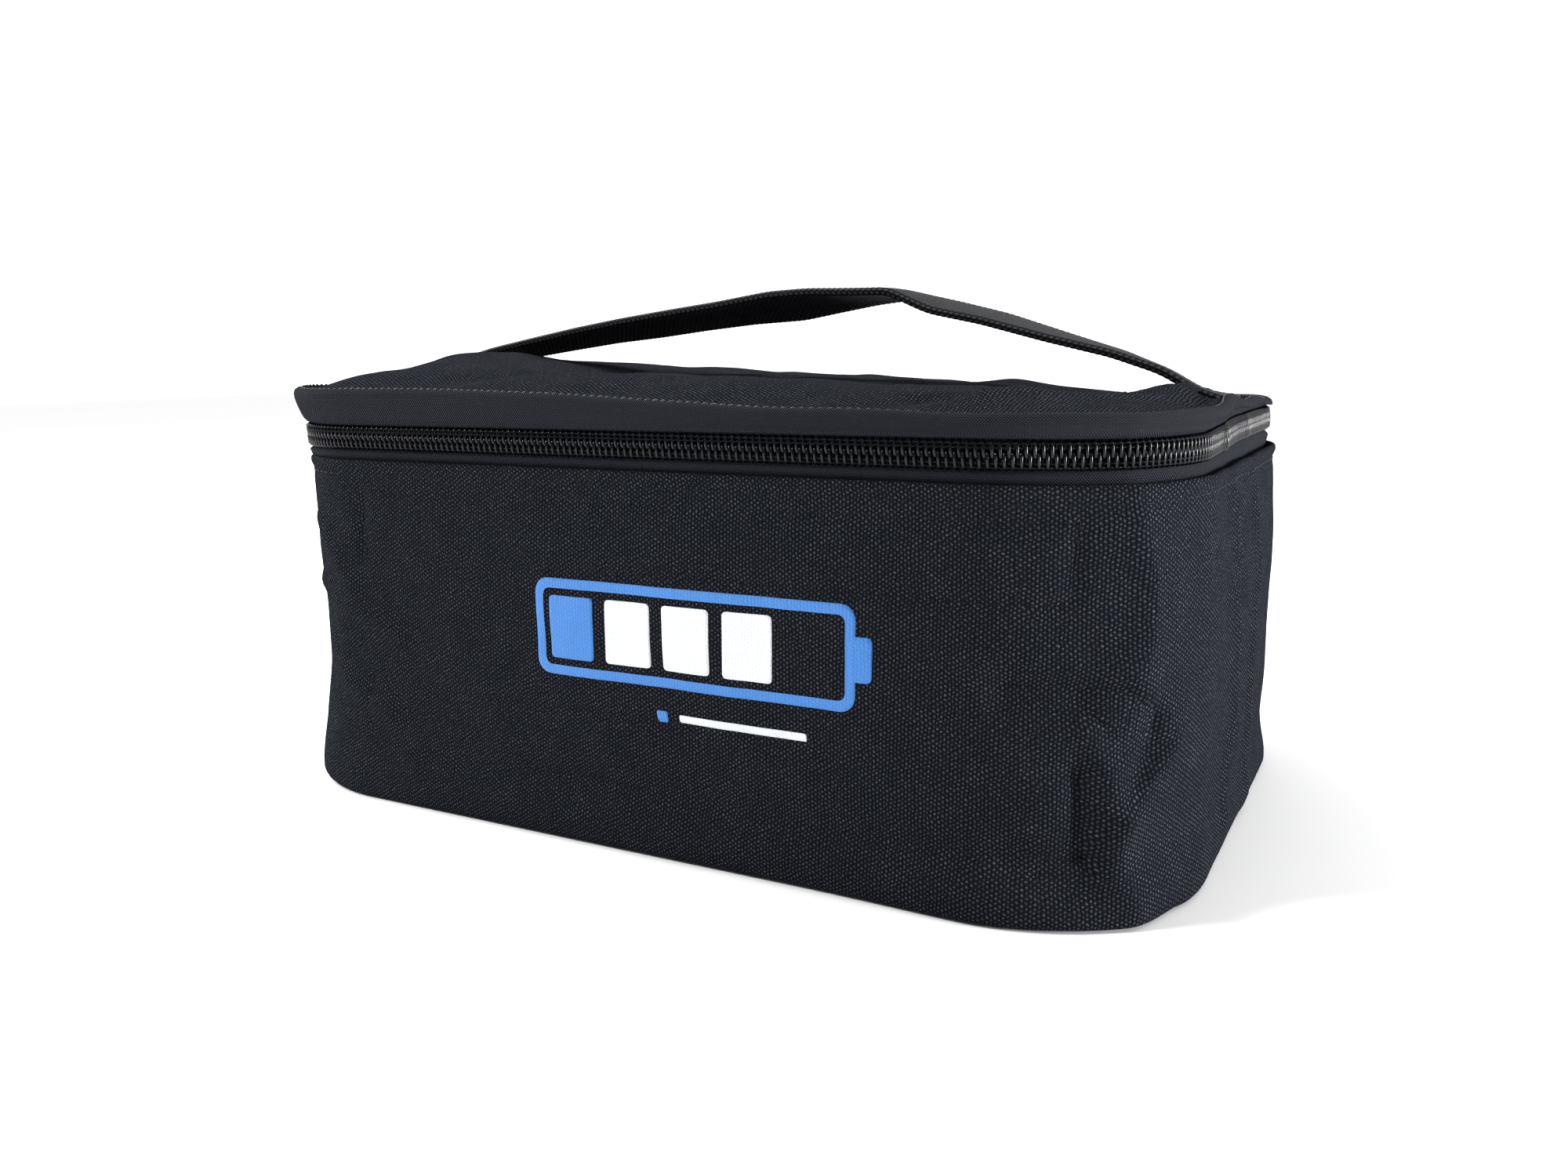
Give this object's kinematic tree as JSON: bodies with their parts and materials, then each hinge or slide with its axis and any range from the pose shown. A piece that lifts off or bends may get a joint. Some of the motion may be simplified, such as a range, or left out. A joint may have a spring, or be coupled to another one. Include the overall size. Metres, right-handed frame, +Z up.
{
  "type": "lipo safe bag",
  "caption": "Soft padded battery bag with a fabric-hinged lid, a zip round three sides, and an arched webbing carry handle.",
  "frame": {"origin": "middle of the base's outer face, on the surface that the bag stands on", "axes": "+X along the front to the right as the printed front is faced, +Y from the front to the hinge at the back, +Z up"},
  "size_m": [0.2202, 0.1452, 0.115],
  "materials": {
    "cloth_black": "plain woven polyester, slight sheen",
    "binding_black": "woven binding tape, matt",
    "zip_tape": "herringbone zip tape, matt",
    "zip_coil": "glossy nylon coil",
    "zip_metal": "black enamel",
    "webbing_black": "ribbed polypropylene webbing",
    "loop_tape": "loop side of hook-and-loop tape",
    "padding_grey": "needled fire-resistant felt",
    "board_grey": "stiffening board",
    "glass_cloth": "coated woven glass cloth",
    "print_blue": "screen-print ink",
    "print_white": "screen-print ink"
  },
  "bodies": {
    "bag": {"base_panel": "cloth_black", "base_board": "board_grey", "base_padding": "padding_grey", "base_lining": "glass_cloth", "base_seam_binding": "binding_black", "outer_wall": "cloth_black", "back_panel": "cloth_black", "front_padding": "padding_grey", "back_padding": "padding_grey", "left_padding": "padding_grey", "right_padding": "padding_grey", "corner_padding": "padding_grey", "wall_lining": "glass_cloth", "top_edge_binding": "binding_black", "lower_zip_tape": "zip_tape", "lower_zip_coil": "zip_coil", "lower_zip_stops": "zip_metal", "front_loop_strips": "loop_tape", "print_blue": "print_blue", "print_white": "print_white"},
    "lid": {"lid_top_panel": "cloth_black", "lid_padding": "padding_grey", "lid_lining": "glass_cloth", "lid_hinge_flap": "cloth_black", "lid_seam_binding": "binding_black", "upper_zip_tape": "zip_tape", "upper_zip_coil": "zip_coil", "upper_zip_stops": "zip_metal", "handle_anchors": "webbing_black", "handle_end_bindings": "binding_black"},
    "handle": {"handle_strap": "webbing_black"},
    "slider": {"slider_body": "zip_metal"},
    "pull": {"pull_tab": "zip_metal"}
  },
  "joints": [
    {"name": "lid_hinge", "type": "hinge", "parent": "bag", "child": "lid", "pos_m": [0, 0.0725, 0.083], "axis": [-1, 0, 0], "range_deg": [0, 150]},
    {"name": "handle_swing", "type": "hinge", "parent": "lid", "child": "handle", "pos_m": [0, 0, 0.098], "axis": [1, 0, 0], "range_deg": [-25, 25]},
    {"name": "zip_run", "type": "slide", "parent": "bag", "child": "slider", "axis": [0, -1, 0], "range_m": [0, 0.062]},
    {"name": "pull_swing", "type": "hinge", "parent": "slider", "child": "pull", "pos_m": [-0.1112, 0.031, 0.083], "axis": [0, 1, 0], "range_deg": [0, 165]}
  ]
}
